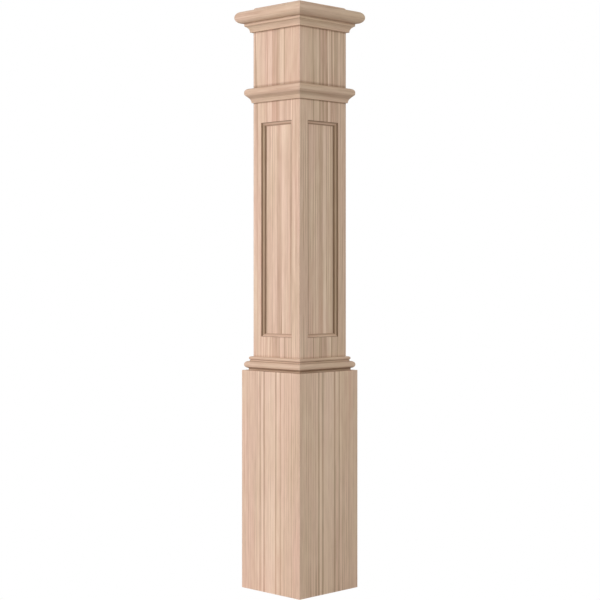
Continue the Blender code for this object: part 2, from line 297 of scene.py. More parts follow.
class NewelPost(bpy.types.PropertyGroup):
    """Everything that a user may change."""

    boards: PointerProperty(type=BoardSizes)
    base: PointerProperty(type=BaseMouldingSizes)
    necking: PointerProperty(type=NeckingSizes)
    cap: PointerProperty(type=CapSizes)
    strips: PointerProperty(type=PanelMouldingSizes)
    wood: PointerProperty(type=WoodLook)
    stage: PointerProperty(type=StageLook)


def arc(centre, width, start, end, height=None):
    """Points at equal angles on a circle, from angle start to angle end in radians.

    The width is its radius. With a height of its own it is an ellipse: across = width * cos,
    up = height * sin."""
    height = width if height is None else height
    angle = np.linspace(start, end, ARC_POINTS)
    return np.column_stack((centre[0] + width * np.cos(angle), centre[1] + height * np.sin(angle)))


def distinct(outline):
    """A closed outline without any point that lies on the one before it."""
    step = np.linalg.norm(outline - np.roll(outline, 1, axis=0), axis=1)
    return outline[step > SAME_POINT]


def eased(outline, radius):
    """A closed outline with its sharp corners rounded.

    A corner becomes points of the curve (1 - t)^2 A + 2 t (1 - t) C + t^2 B, where C is the
    corner and A and B lie one radius before and after it. Slight turns are left alone."""
    outline = distinct(outline)
    back = np.roll(outline, 1, axis=0) - outline
    ahead = np.roll(outline, -1, axis=0) - outline
    back_length = np.linalg.norm(back, axis=1)[:, None]
    ahead_length = np.linalg.norm(ahead, axis=1)[:, None]
    reach = np.minimum(radius, EASE_SHARE * np.minimum(back_length, ahead_length))
    straight = -np.sum(back * ahead, axis=1)[:, None] / (back_length * ahead_length)
    reach = np.where(straight < math.cos(SHARP_ANGLE), reach, 0)
    start = (outline + back / back_length * reach)[:, None]
    end = (outline + ahead / ahead_length * reach)[:, None]
    t = np.linspace(0, 1, EASE_POINTS)[None, :, None]
    curve = (1 - t) ** 2 * start + 2 * t * (1 - t) * outline[:, None] + t**2 * end
    return distinct(curve.reshape(-1, 2))


def held(outline):
    """A closed outline with one more point near both ends of each long flat stretch, so that the
    shading of the rounds beside it doesn't spread over the flat."""
    ahead = np.roll(outline, -1, axis=0) - outline
    size = np.linalg.norm(ahead, axis=1)
    near = ahead / size[:, None] * HOLD
    points = np.stack((outline, outline + near, outline + ahead - near), axis=1)
    is_long = size > LONG_FLAT
    return points[np.column_stack((np.ones_like(is_long), is_long, is_long))]


def carried(outline, extra=0.0):
    """An outline carried along a straight path, with both ends cut at 45 degrees.

    The outline's points are (r, h). Station s, from -1 to 1, puts each one at (a, r, h) with
    a = s (r + extra - hair line), so that four such lengths meet in closed mitres."""
    station = np.linspace(-1, 1, STATIONS)[:, None]
    along = station * (outline[:, 0] + extra - HAIR_LINE)
    across = np.broadcast_to(outline, (len(station), *outline.shape))
    return np.concatenate((along[..., None], across), axis=2)


def rectangles(half, low, high, depth):
    """Rings of four corners (-half, depth, low), (half, depth, low), (half, depth, high) and
    (-half, depth, high), one ring for each row of the four columns."""
    columns = np.broadcast_arrays(half, low, high, depth)
    half, low, high, depth = (np.asarray(column, float) for column in columns)
    x = np.stack((-half, half, half, -half), axis=1)
    z = np.stack((low, low, high, high), axis=1)
    y = np.repeat(depth[:, None], 4, axis=1)
    return np.stack((x, y, z), axis=2)


def tube_faces(rings, corners, closed):
    """Faces over a grid of points, ring after ring.

    Face (i, j) joins corners j and j + 1 of ring i with those of ring i + 1, where j wraps round.
    A closed tube joins its last ring to its first; an open one gets a face over each end."""
    ring = np.arange(rings if closed else rings - 1)[:, None] * corners
    after = (ring + corners) % (rings * corners)
    here = np.arange(corners)[None, :]
    beside = (here + 1) % corners
    sides = np.stack((ring + here, ring + beside, after + beside, after + here), axis=-1)
    faces = sides.reshape(-1, 4).tolist()
    if not closed:
        last = (rings - 1) * corners
        faces += [list(range(corners))[::-1], list(range(last, last + corners))]
    return faces


def quarter_turned(points, quarter):
    """Points turned about +Z by that many quarter turns: (x, y) becomes (-y, x) at each one."""
    for _ in range(quarter):
        points = np.stack((-points[..., 1], points[..., 0], points[..., 2]), axis=-1)
    return points


def make_piece(node, points, finish, closed=False):
    """A piece that stands for a CAD node: a tube of point rings with its faces turned outwards."""
    name = f"dressed_{node}"
    mesh = bpy.data.meshes.new(name)
    faces = tube_faces(*points.shape[:2], closed)
    mesh.from_pydata(points.reshape(-1, 3).tolist(), [], faces)
    shape = bmesh.new()
    shape.from_mesh(mesh)
    if shape.calc_volume(signed=True) < 0:
        bmesh.ops.reverse_faces(shape, faces=shape.faces)
    shape.to_mesh(mesh)
    shape.free()
    mesh.shade_smooth()
    mesh.set_sharp_from_angle(angle=SHARP_ANGLE)
    mesh.materials.append(finish)
    piece = bpy.data.objects.new(name, mesh)
    bpy.context.scene.collection.objects.link(piece)
    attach(piece, "root")
    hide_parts(node)
    return piece


def rounded_front(half, height, arris):
    """Rings from a board's front face round its outer edges, as columns for rectangles().

    At angle a the depth is arris (1 - cos a) behind the face, the top and foot close in by
    arris (1 - sin a), and so do the sides until they meet the mitre, which they then follow."""
    angle = np.linspace(0, math.pi / 2, EDGE_POINTS)
    depth = -half + arris * (1 - np.cos(angle))
    inset = arris * (1 - np.sin(angle))
    side = np.minimum(half - inset, -depth) - HAIR_LINE
    return np.column_stack((side, inset, height - inset, depth))


def shaft_board_points(boards):
    """A shaft board: rings from the opening's wall over its eased edge, across the face, round the
    outer edges, down the mitres, over the back and through the rabbet to the wall again."""
    half_width = STRIP_HIGH.x + CAD_GAP
    low = FOOT_STRIP_LOW.z - CAD_GAP
    high = STRIP_HIGH.z + CAD_GAP
    top = SHAFT_HIGH.z
    rabbet_face = -PANEL_FACE - CAD_GAP
    ease = boards.opening_arris
    angle = np.linspace(0, math.pi / 2, EASE_POINTS)
    flare = np.concatenate(([0, 0], ease * (1 - np.cos(angle)), [ease + HOLD]))
    depth = np.concatenate(
        (
            [rabbet_face, -SHAFT_HALF + ease + HOLD],
            -SHAFT_HALF + ease * (1 - np.sin(angle)),
            [-SHAFT_HALF],
        )
    )
    opening = np.column_stack((half_width + flare, low - flare, high + flare, depth))
    outer = rounded_front(SHAFT_HALF, top, boards.arris)
    hold = outer[0] + (-HOLD, HOLD, -HOLD, 0)
    reach = boards.rabbet
    back = (
        (SHAFT_INSIDE - HAIR_LINE, 0, top, -SHAFT_INSIDE),
        (half_width + reach, low - reach, high + reach, -SHAFT_INSIDE),
        (half_width + reach, low - reach, high + reach, rabbet_face),
    )
    return rectangles(*np.vstack((opening, hold, outer, back)).T)


def block_board_points(boards):
    """A lower block board: rings from its face round the outer edges and down the mitres."""
    height = BLOCK_HIGH.z
    outer = rounded_front(BLOCK_HALF, height, boards.arris)
    hold = outer[0] + (-HOLD, HOLD, -HOLD, 0)
    back = (BLOCK_INSIDE - HAIR_LINE, 0, height, -BLOCK_INSIDE)
    return rectangles(*np.vstack((hold, outer, back)).T)


def lid_points(boards):
    """The top panel: square rings from its underside up, closing in round its upper edge by
    r (1 - cos a) at the height r sin a above the round's start."""
    radius = boards.lid_round
    angle = np.linspace(0, math.pi / 2, ARC_POINTS)
    inset = radius * (1 - np.cos(angle))
    height = LID_HIGH.z - radius + radius * np.sin(angle)
    ease = boards.arris
    inset = np.concatenate(([ease, 0, 0], inset, [radius + HOLD]))
    height = np.concatenate(
        ([LID_LOW.z, LID_LOW.z + ease, LID_HIGH.z - radius - HOLD], height, [LID_HIGH.z])
    )
    half = LID_HIGH.x - inset
    return rectangles(half, -half, half, height)[..., [0, 2, 1]]


def base_outline(sizes, back):
    """Foot, torus, fillet and bead, as distances from the axis and heights above the foot."""
    centre = SHAFT_HALF + sizes.torus_projection - sizes.torus_radius
    foot_face = SHAFT_HALF + sizes.foot_projection
    start = math.acos((foot_face - centre) / sizes.torus_radius)
    torus_middle = sizes.foot_height + sizes.torus_radius * math.sin(start)
    torus_top = torus_middle + sizes.torus_radius
    bead_centre = SHAFT_HALF + sizes.bead_projection - sizes.bead_radius
    fillet_face = SHAFT_HALF + sizes.fillet_projection
    bead_middle = torus_top + sizes.fillet + sizes.bead_radius
    top = bead_middle + sizes.bead_radius
    return np.vstack(
        (
            (back, 0),
            (foot_face, 0),
            (foot_face, sizes.foot_height),
            arc((centre, torus_middle), sizes.torus_radius, -start, math.pi / 2),
            (fillet_face, torus_top),
            (fillet_face, torus_top + sizes.fillet),
            arc((bead_centre, bead_middle), sizes.bead_radius, -math.pi / 2, math.pi / 2),
            (back, top),
        )
    )


def necking_outline(sizes, back):
    """Cove, 45 degree slope, rounded nose and flat top, from the foot up."""
    foot = SHAFT_HALF + sizes.foot_projection
    nose = SHAFT_HALF + sizes.projection
    rounds = (sizes.under_radius + sizes.cove_radius) * (1 - math.cos(SLOPE))
    slope_run = nose - foot - rounds
    rise = (sizes.under_radius + sizes.cove_radius) * math.sin(SLOPE)
    nose_bottom = rise + slope_run
    round_middle = (nose - sizes.round_width, nose_bottom + sizes.nose_flat)
    return np.vstack(
        (
            (back, 0),
            arc((foot + sizes.cove_radius, 0), sizes.cove_radius, math.pi, math.pi - SLOPE),
            arc((nose - sizes.under_radius, nose_bottom), sizes.under_radius, -SLOPE, 0),
            arc(round_middle, sizes.round_width, 0, math.pi / 2, sizes.round_height),
            (back, round_middle[1] + sizes.round_height),
        )
    )


def cove_outline(sizes, back):
    """Low fillet, hollow cove and high fillet under the bullnose."""
    low = SHAFT_HALF + sizes.low_projection
    high = SHAFT_HALF + sizes.top_projection
    end = math.acos((high - low - sizes.cove_radius) / sizes.cove_radius)
    top = sizes.low_fillet + sizes.cove_radius * math.sin(end) + sizes.top_fillet
    return np.vstack(
        (
            (back, 0),
            (low, 0),
            arc((low + sizes.cove_radius, sizes.low_fillet), sizes.cove_radius, math.pi, end),
            (high, top),
            (back, top),
        )
    )


def bullnose_outline(sizes, back):
    """Half-round edge on a flat slab."""
    low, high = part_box("cap_bullnose_front")
    radius = (high.z - low.z) / 2
    middle = (SHAFT_HALF + sizes.nose_projection - radius, radius)
    return np.vstack(
        (
            (back, 0),
            arc(middle, radius, -math.pi / 2, math.pi / 2),
            (back, 2 * radius),
        )
    )


def strip_outline(sizes):
    """Panel strip, as distances from the opening's middle line and heights above the panel.

    The band from the lip down is a parabola that swells out of its chord by its bow."""
    wall = STRIP_HIGH.x
    t = np.linspace(0, 1, ARC_POINTS)
    band = np.column_stack(
        (
            wall - sizes.lip - sizes.band_width * t,
            sizes.height - sizes.band_fall * t + 4 * sizes.band_bow * t * (1 - t),
        )
    )
    inner = wall - sizes.width
    drop_foot = (band[-1, 0] - sizes.drop, sizes.foot)
    return np.vstack(
        ((inner, 0), (wall, 0), (wall, sizes.height), band, drop_foot, (inner, sizes.edge))
    )


def ring_mouldings(kind, outline, finishes):
    """Four mitred lengths of one moulding round the shaft."""
    lengths = carried(held(outline))
    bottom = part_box(f"{kind}_front")[0].z
    points = np.stack((lengths[..., 0], -lengths[..., 1], lengths[..., 2] + bottom), axis=-1)
    for quarter, side in enumerate(SIDES):
        turned = quarter_turned(points, quarter)
        make_piece(f"{kind}_{side}", turned, finishes[quarter])


# Growth bands across a board: each pair is the share of the width where a band begins and its
# tone, from 0 for early wood by 0.5 for the usual colour to 1 for late wood
PLAIN_BANDS = ((0.0, 0.5),)
SHAFT_BANDS = (
    (0.0, 0.48),
    (0.284, 0.14),
    (0.304, 0.60),
    (0.405, 0.26),
    (0.585, 0.66),
    (0.664, 0.12),
    (0.688, 0.44),
)
BLOCK_BANDS = (
    (0.0, 0.50),
    (0.286, 0.72),
    (0.303, 0.26),
    (0.336, 0.84),
    (0.371, 0.20),
    (0.402, 0.68),
    (0.579, 0.14),
    (0.606, 0.66),
    (0.662, 0.18),
    (0.684, 0.70),
    (0.715, 0.34),
    (0.731, 0.48),
    (0.85, 0.28),
    (0.866, 0.46),
)
PANEL_BANDS = (
    (0.0, 0.5),
    (0.426, 0.68),
    (0.455, 0.30),
    (0.556, 0.70),
    (0.617, 0.5),
)

# Share of the width over which one band turns into the next
BAND_EDGE = 0.006

# Each pattern's features to the metre across the grain, in depth and along it, its step from the
# piece's seed, its detail and its roughness
PATTERNS = {
    "wander": ((9.0, 9.0, 0.8), 0, 1.0, 0.5),
    "patch": ((16.0, 16.0, 2.2), 2, 2.0, 0.5),
    "streak": ((260.0, 260.0, 1.5), 4, 3.0, 0.6),
    "fibre": ((620.0, 620.0, 9.0), 6, 2.0, 0.6),
    "pore": ((1700.0, 1700.0, 42.0), 8, 1.0, 0.5),
    "spread": ((30.0, 30.0, 0.3), 10, 1.0, 0.5),
    "fade": ((34.0, 34.0, 7.0), 12, 2.0, 0.5),
    "cloud": ((26.0, 26.0, 5.0), 14, 2.0, 0.5),
    "fleck": ((150.0, 150.0, 18.0), 16, 1.0, 0.5),
}

# How far the figure wanders sideways in all, in metres, and how much it slants with depth
WANDER = 0.004
SLANT = 0.6

# Growth rings: how many there are, how unevenly they are spaced, how suddenly each one darkens
# at its end, and its mean darkness
RINGS_TO_THE_METRE = 150.0
RING_SPREAD = 9
RING_SHARPNESS = 3.0
RING_MEAN = 0.25

# How far each pattern moves the tone
PATCH_WEIGHT = 0.40
STREAK_WEIGHT = 1.25
RING_WEIGHT = 0.6
FIBRE_WEIGHT = 0.40
FLECK_WEIGHT = 0.45
PORE_WEIGHT = -0.35

# Ends of the stretch of a pattern or a tone over which each effect comes in, and how far the
# fading takes the streaks and rings
FADE_RANGE = (0.38, 0.62)
FADE_LEVELS = (0.15, 1.4)
PORE_RANGE = (0.56, 0.72)
BLUSH_RANGE = (0.45, 0.70)
DARK_WOOD_RANGE = (0.62, 0.30)
CLOUD_RANGE = (0.35, 0.65)

# Share of the pores that keeps to the dark part of a ring, and the strength of the blush
EARLY_PORES = 0.8
BLUSH_STRENGTH = 0.55

# A face counts as end grain when the cosine of its angle with the cut is above this
END_FACING = 0.8

# Sheen: how much less rough late wood is than early wood, and the specular level, usually 0.5
GLOSS = 0.12
SPECULAR = 0.25

# Relief: the fibres' share of the pores' depth, and that depth in metres
FIBRE_RELIEF = 0.5
RELIEF_DEPTH = 0.0003

# Strength of the streaks and rings, where it isn't 1
BLOCK_FIGURE = 0.6
LID_FIGURE = 0.5
MOULDING_FIGURE = 0.35

# The seed of each kind of piece, and the step from one side to the next
SEEDS = {
    "shaft": 0,
    "block": 11,
    "panel": 23,
    "strip": 37,
    "base_moulding": 51,
    "necking": 57,
    "cap_cove": 63,
    "cap_bullnose": 69,
    "lid": 90,
}
SIDE_SEED = 1.7


def add(tree, kind, inputs, **settings):
    """One node of a kind, with its settings; each input takes a value or another node's output."""
    node = tree.nodes.new(kind)
    for name, value in settings.items():
        setattr(node, name, value)
    for name, value in inputs.items():
        if isinstance(value, bpy.types.NodeSocket):
            tree.links.new(value, node.inputs[name])
        else:
            node.inputs[name].default_value = value
    return node


def calc(tree, operation, first, second=0.0, third=0.0):
    """One arithmetic step on one to three numbers or outputs."""
    inputs = {0: first, 1: second, 2: third}
    return add(tree, "ShaderNodeMath", inputs, operation=operation).outputs[0]


def blend(tree, factor, first, second, kind="MIX"):
    """A mix of two colours."""
    inputs = {0: factor, 6: first, 7: second}
    node = add(tree, "ShaderNodeMix", inputs, data_type="RGBA", blend_type=kind)
    return node.outputs[2]


def tinted(tree, colour, shade):
    """A colour multiplied by a tint."""
    return blend(tree, 1.0, colour, (*shade, 1), "MULTIPLY")


def ranged(tree, value, start, end, low=0.0, high=1.0):
    """A value carried straight from start to end onto low to high, and held there beyond them."""
    limits = {0: value, 1: start, 2: end, 3: low, 4: high}
    return add(tree, "ShaderNodeMapRange", limits).outputs[0]


def moved(tree, tone, pattern, weight):
    """A tone moved up or down: tone + weight (pattern - 1/2)."""
    return calc(tree, "MULTIPLY_ADD", calc(tree, "SUBTRACT", pattern, 0.5), weight, tone)


def noise(tree, place, pattern, seed):
    """Smooth random values from 0 to 1 over a place that is stretched as the pattern says."""
    scale, step, detail, roughness = PATTERNS[pattern]
    stretched = add(tree, "ShaderNodeMapping", {"Vector": place, "Scale": scale})
    inputs = {
        "Vector": stretched.outputs[0],
        "W": seed + step,
        "Scale": 1.0,
        "Detail": detail,
        "Roughness": roughness,
    }
    return add(tree, "ShaderNodeTexNoise", inputs, noise_dimensions="4D").outputs[0]


def banded(tree, share, bands):
    """The tone at a share of the board's width, with a narrow slope where two bands meet."""
    node = add(tree, "ShaderNodeValToRGB", {0: share})
    stops = node.color_ramp.elements
    marks = [(0.0, bands[0][1])]
    for (_, tone), (start, next_tone) in zip(bands, bands[1:]):
        marks += [(start, tone), (start + BAND_EDGE, next_tone)]
    marks.append((1.0, bands[-1][1]))
    while len(stops) < len(marks):
        stops.new(1.0)
    for stop, (place, tone) in zip(stops, marks):
        stop.position = place
        stop.color = (tone, tone, tone, 1)
    return node.outputs[0]


def painted_crease_shade(tree, colour, coordinate, level, reach, strength, shade):
    """A colour with painted shade round one level of a coordinate, gone at the reach to both sides.
    """
    away = calc(tree, "ABSOLUTE", calc(tree, "SUBTRACT", coordinate, level))
    dark = ranged(tree, away, reach, reach * PAINTED_SHADE_CORE, 0.0, strength)
    return blend(tree, dark, colour, tinted(tree, colour, shade))


def wood_finish(
    name,
    quarter,
    look,
    seed,
    bands=PLAIN_BANDS,
    half=1.0,
    lying=False,
    ends=True,
    shade=None,
    figure=1.0,
    crease_shades=(),
):
    """Bare wood whose grain runs up the piece, or along it if the piece is lying.

    The place is turned back to the front face, so X runs across the grain, Y is the depth and Z
    runs along the grain. The tone is the sum of the board's growth bands, fine rings, streaks,
    fibres and flecks, less the pores, and picks a colour between early, middle and late wood. The
    half is half the board's width, the ends say whether faces that are cut across the grain look
    like end grain, and the figure says how strong the streaks and rings are. A shade tints the
    whole piece: the mouldings' own colour, or painted shade over the upright strips. Each crease
    paints shade into an inner corner, where shadow falls: an axis of the front face, the corner's
    level on it, how far it reaches and how strong it is."""
    material = bpy.data.materials.new(name)
    material.use_nodes = True
    tree = material.node_tree
    shader = tree.nodes["Principled BSDF"]
    seed += quarter * SIDE_SEED
    turn = quarter * math.pi / 2

    place = add(tree, "ShaderNodeTexCoord", {}).outputs["Object"]
    turned = {"Vector": place, "Rotation": (0, 0, -turn)}
    place = add(tree, "ShaderNodeMapping", turned).outputs[0]
    upright = add(tree, "ShaderNodeSeparateXYZ", {0: place}).outputs
    if lying:
        laid = {"Vector": place, "Rotation": (0, -math.pi / 2, 0)}
        place = add(tree, "ShaderNodeMapping", laid).outputs[0]

    # The figure wanders a little from side to side along the grain
    wander = calc(tree, "MULTIPLY_ADD", noise(tree, place, "wander", seed), WANDER, -WANDER / 2)
    apart = add(tree, "ShaderNodeSeparateXYZ", {0: place}).outputs
    across = calc(tree, "ADD", apart[0], wander)
    slanted = calc(tree, "MULTIPLY_ADD", apart[1], SLANT, across)
    parts = {0: across, 1: apart[1], 2: apart[2]}
    place = add(tree, "ShaderNodeCombineXYZ", parts).outputs[0]

    # The share of the board's width is across / (2 half) + 1/2
    share = calc(tree, "MULTIPLY_ADD", across, 0.5 / half, 0.5)
    tone = banded(tree, share, bands)

    patch = noise(tree, place, "patch", seed)
    streak = noise(tree, place, "streak", seed)
    fibre = noise(tree, place, "fibre", seed)
    fleck = noise(tree, place, "fleck", seed)
    pore = noise(tree, place, "pore", seed)

    # Each ring is pale and then darkens to a fine line of early wood
    spread = calc(tree, "MULTIPLY", noise(tree, place, "spread", seed), RING_SPREAD)
    phase = calc(tree, "MULTIPLY_ADD", slanted, RINGS_TO_THE_METRE, spread)
    ring = calc(tree, "POWER", calc(tree, "FRACT", phase), RING_SHARPNESS)

    # Streaks and rings fade in and out along the board
    fade = ranged(tree, noise(tree, place, "fade", seed), *FADE_RANGE, *FADE_LEVELS)
    streak = calc(tree, "MULTIPLY", calc(tree, "SUBTRACT", streak, 0.5), STREAK_WEIGHT * figure)
    paler = calc(tree, "SUBTRACT", RING_MEAN, ring)
    figured = calc(tree, "MULTIPLY_ADD", paler, RING_WEIGHT * figure, streak)

    # Pores are open mostly in the dark part of a ring
    early = calc(tree, "MULTIPLY_ADD", ring, EARLY_PORES, 1 - EARLY_PORES)
    opened = calc(tree, "MULTIPLY", ranged(tree, pore, *PORE_RANGE), early)

    tone = moved(tree, tone, patch, PATCH_WEIGHT)
    tone = calc(tree, "MULTIPLY_ADD", figured, fade, tone)
    tone = moved(tree, tone, fibre, FIBRE_WEIGHT)
    tone = moved(tree, tone, fleck, FLECK_WEIGHT)
    tone = calc(tree, "MULTIPLY_ADD", opened, PORE_WEIGHT, tone)

    ramp = add(tree, "ShaderNodeValToRGB", {0: tone})
    stops = ramp.color_ramp.elements
    stops.new(0.5)
    for stop, position, colour in zip(stops, (0.0, 0.5, 1.0), (look.early, look.middle, look.late)):
        stop.position = position
        stop.color = (*colour, 1)
    colour = ramp.outputs[0]

    # Pinkish heart streaks come and go in the darker wood
    dark_wood = ranged(tree, tone, *DARK_WOOD_RANGE)
    blush = calc(tree, "MULTIPLY", ranged(tree, patch, *BLUSH_RANGE), dark_wood)
    blush = calc(tree, "MULTIPLY", blush, BLUSH_STRENGTH)
    colour = blend(tree, blush, colour, (*look.blush, 1))

    # The wood leans from pink to straw in soft clouds
    cloud = ranged(tree, noise(tree, place, "cloud", seed), *CLOUD_RANGE)
    cloud = blend(tree, cloud, (*look.pink, 1), (*look.straw, 1))
    colour = blend(tree, 1.0, colour, cloud, "MULTIPLY")

    # Standing grain is cut by level faces, and lying grain by faces at the piece's two ends
    if ends:
        cut = (abs(math.cos(turn)), abs(math.sin(turn)), 0) if lying else (0, 0, 1)
        normal = add(tree, "ShaderNodeNewGeometry", {}).outputs["Normal"]
        facing = {0: normal, 1: cut}
        facing = add(tree, "ShaderNodeVectorMath", facing, operation="DOT_PRODUCT").outputs[1]
        is_end = calc(tree, "GREATER_THAN", calc(tree, "ABSOLUTE", facing), END_FACING)
        colour = blend(tree, is_end, colour, tinted(tree, colour, look.end_grain))
    if shade is not None:
        colour = tinted(tree, colour, shade)
    # Painted shade at each inner corner, standing in for the shadow there
    for axis, level, reach, strength in crease_shades:
        colour = painted_crease_shade(tree, colour, upright[axis], level, reach, strength, look.crease)
    tree.links.new(colour, shader.inputs["Base Color"])

    dull = calc(tree, "MULTIPLY_ADD", tone, -GLOSS, look.roughness + GLOSS / 2)
    tree.links.new(dull, shader.inputs["Roughness"])
    raised = calc(tree, "MULTIPLY", fibre, FIBRE_RELIEF)
    relief = calc(tree, "MULTIPLY_ADD", opened, -1.0, raised)
    bump = {"Strength": look.relief, "Distance": RELIEF_DEPTH, "Height": relief}
    bumped = add(tree, "ShaderNodeBump", bump).outputs[0]
    tree.links.new(bumped, shader.inputs["Normal"])
    shader.inputs["Specular IOR Level"].default_value = SPECULAR
    shader.inputs["Metallic"].default_value = 0.0
    return material


class NEWEL_OT_shaft_boards(bpy.types.Operator):
    """Build the four shaft boards with their panel openings"""

    bl_idname = "newel.shaft_boards"
    bl_label = "Shaft boards"

    def execute(self, context):
        post = context.scene.newel_post
        points = shaft_board_points(post.boards)
        necking_bottom, necking_top = (corner.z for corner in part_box("necking_front"))
        cove_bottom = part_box("cap_cove_front")[0].z
        bead_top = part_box("base_moulding_front")[1].z
        # Painted shade on the opening's wall and on the shaft just above and below the mouldings,
        # where shadow falls
        crease_shades = (
            (DEPTH, WALL_PAINTED_SHADE_DEPTH - SHAFT_HALF, *WALL_PAINTED_SHADE),
            (HEIGHT, necking_top, *NECKING_TOP_PAINTED_SHADE),
            (HEIGHT, necking_bottom, *NECKING_FOOT_PAINTED_SHADE),
            (HEIGHT, cove_bottom, *COVE_FOOT_PAINTED_SHADE),
            (HEIGHT, bead_top, *BEAD_TOP_PAINTED_SHADE),
        )
        for quarter, side in enumerate(SIDES):
            finish = wood_finish(
                f"shaft_grain_{side}",
                quarter,
                post.wood,
                SEEDS["shaft"],
                SHAFT_BANDS,
                SHAFT_HALF,
                crease_shades=crease_shades,
            )
            turned = quarter_turned(points, quarter)
            make_piece(f"shaft_board_{side}", turned, finish, closed=True)
        return {"FINISHED"}


class NEWEL_OT_block_boards(bpy.types.Operator):
    """Build the four plain boards round the foot of the shaft"""

    bl_idname = "newel.block_boards"
    bl_label = "Lower block boards"

    def execute(self, context):
        post = context.scene.newel_post
        points = block_board_points(post.boards)
        for quarter, side in enumerate(SIDES):
            finish = wood_finish(
                f"block_grain_{side}",
                quarter,
                post.wood,
                SEEDS["block"],
                BLOCK_BANDS,
                BLOCK_HALF,
                figure=BLOCK_FIGURE,
            )
            turned = quarter_turned(points, quarter)
            make_piece(f"lower_block_board_{side}", turned, finish)
        return {"FINISHED"}


class NEWEL_OT_recessed_panels(bpy.types.Operator):
    """Give the four recessed panels of the frame their grain"""

    bl_idname = "newel.recessed_panels"
    bl_label = "Recessed panels"

    def execute(self, context):
        post = context.scene.newel_post
        strip_edge = STRIP_HIGH.x - post.strips.width
        # Painted shadow on the panel along its upright strips
        crease_shades = [(WIDTH, edge, *PANEL_EDGE_PAINTED_SHADE) for edge in (-strip_edge, strip_edge)]
        for quarter, side in enumerate(SIDES):
            finish = wood_finish(
                f"panel_grain_{side}",
                quarter,
                post.wood,
                SEEDS["panel"],
                PANEL_BANDS,
                SHAFT_HALF,
                crease_shades=crease_shades,
            )
            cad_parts[f"recessed_panel_{side}"].material_slots[0].material = finish
        return {"FINISHED"}


class NEWEL_OT_panel_mouldings(bpy.types.Operator):
    """Build the sixteen mitred strips round the panels"""

    bl_idname = "newel.panel_mouldings"
    bl_label = "Panel mouldings"

    def execute(self, context):
        post = context.scene.newel_post
        outline = held(eased(strip_outline(post.strips), STRIP_EASE))
        middle = (FOOT_STRIP_LOW.z + STRIP_HIGH.z) / 2
        taller = STRIP_HIGH.z - middle - STRIP_HIGH.x
        back = PANEL_FACE + CAD_GAP
        lip = -back - post.strips.height
        foot_shade_reach = post.strips.foot + STRIP_FOOT_SHADE_REACH
        a, r, h = np.moveaxis(carried(outline), -1, 0)
        top = np.stack((a, -back - h, middle + r + taller), axis=-1)
        bottom = np.stack((a, -back - h, middle - r - taller), axis=-1)
        a, r, h = np.moveaxis(carried(outline, taller), -1, 0)
        right = np.stack((r, -back - h, middle + a), axis=-1)
        left = np.stack((-r, -back - h, middle + a), axis=-1)
        shapes = {"top": top, "right": right, "bottom": bottom, "left": left}
        for quarter, side in enumerate(SIDES):
            for place, points in shapes.items():
                lying = place in ("top", "bottom")
                # Painted shade at each strip's foot and lip, where shadow falls
                crease_shades = [(DEPTH, -back, foot_shade_reach, STRIP_FOOT_PAINTED_SHADES[place])]
                if place in STRIP_LIP_PAINTED_SHADES:
                    crease_shades.append((DEPTH, lip, *STRIP_LIP_PAINTED_SHADES[place]))
                finish = wood_finish(
                    f"strip_grain_{side}_{place}",
                    quarter,
                    post.wood,
                    SEEDS["strip"],
                    lying=lying,
                    ends=not lying,
                    # Upright strips get painted shade all over; lying ones don't
                    shade=None if lying else post.wood.painted_recess_shade,
                    figure=MOULDING_FIGURE,
                    crease_shades=crease_shades,
                )
                node = f"panel_moulding_{side}_{place}"
                turned = quarter_turned(points, quarter)
                make_piece(node, turned, finish)
        return {"FINISHED"}


def moulding_finishes(kind, look, crease_shades=()):
    """One lying wood finish for each side of a moulding."""
    return [
        wood_finish(
            f"{kind}_grain_{side}",
            quarter,
            look,
            SEEDS[kind],
            lying=True,
            ends=False,
            shade=look.moulding,
            figure=MOULDING_FIGURE,
            crease_shades=crease_shades,
        )
        for quarter, side in enumerate(SIDES)
    ]


class NEWEL_OT_base_mouldings(bpy.types.Operator):
    """Build the torus and bead moulding that stands on the lower block"""

    bl_idname = "newel.base_mouldings"
    bl_label = "Base mouldings"

    def execute(self, context):
        post = context.scene.newel_post
        outline = eased(base_outline(post.base, SHAFT_HALF + CAD_GAP), MOULDING_EASE)
        low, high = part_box("base_moulding_front")
        foot_top = low.z + post.base.foot_height
        fillet_top = high.z - 2 * post.base.bead_radius
        # Painted shade on the foot under the torus and at both ends of the fillet
        crease_shades = (
            (HEIGHT, foot_top - BASE_FOOT_PAINTED_SHADE_DROP, *BASE_FOOT_PAINTED_SHADE),
            (HEIGHT, fillet_top - post.base.fillet, *FILLET_PAINTED_SHADE),
            (HEIGHT, fillet_top, *FILLET_PAINTED_SHADE),
        )
        finishes = moulding_finishes("base_moulding", post.wood, crease_shades)
        ring_mouldings("base_moulding", outline, finishes)
        return {"FINISHED"}


class NEWEL_OT_neckings(bpy.types.Operator):
    """Build the necking moulding under the upper block"""

    bl_idname = "newel.neckings"
    bl_label = "Neckings"

    def execute(self, context):
        post = context.scene.newel_post
        outline = eased(necking_outline(post.necking, SHAFT_HALF + HAIR_LINE), MOULDING_EASE)
        low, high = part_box("necking_front")
        under_nose = low.z + post.necking.cove_radius * math.sin(SLOPE)
        # Painted shade under the nose and along its top
        crease_shades = ((HEIGHT, under_nose, *UNDER_NOSE_PAINTED_SHADE), (HEIGHT, high.z, *NOSE_TOP_PAINTED_SHADE))
        finishes = moulding_finishes("necking", post.wood, crease_shades)
        ring_mouldings("necking", outline, finishes)
        return {"FINISHED"}


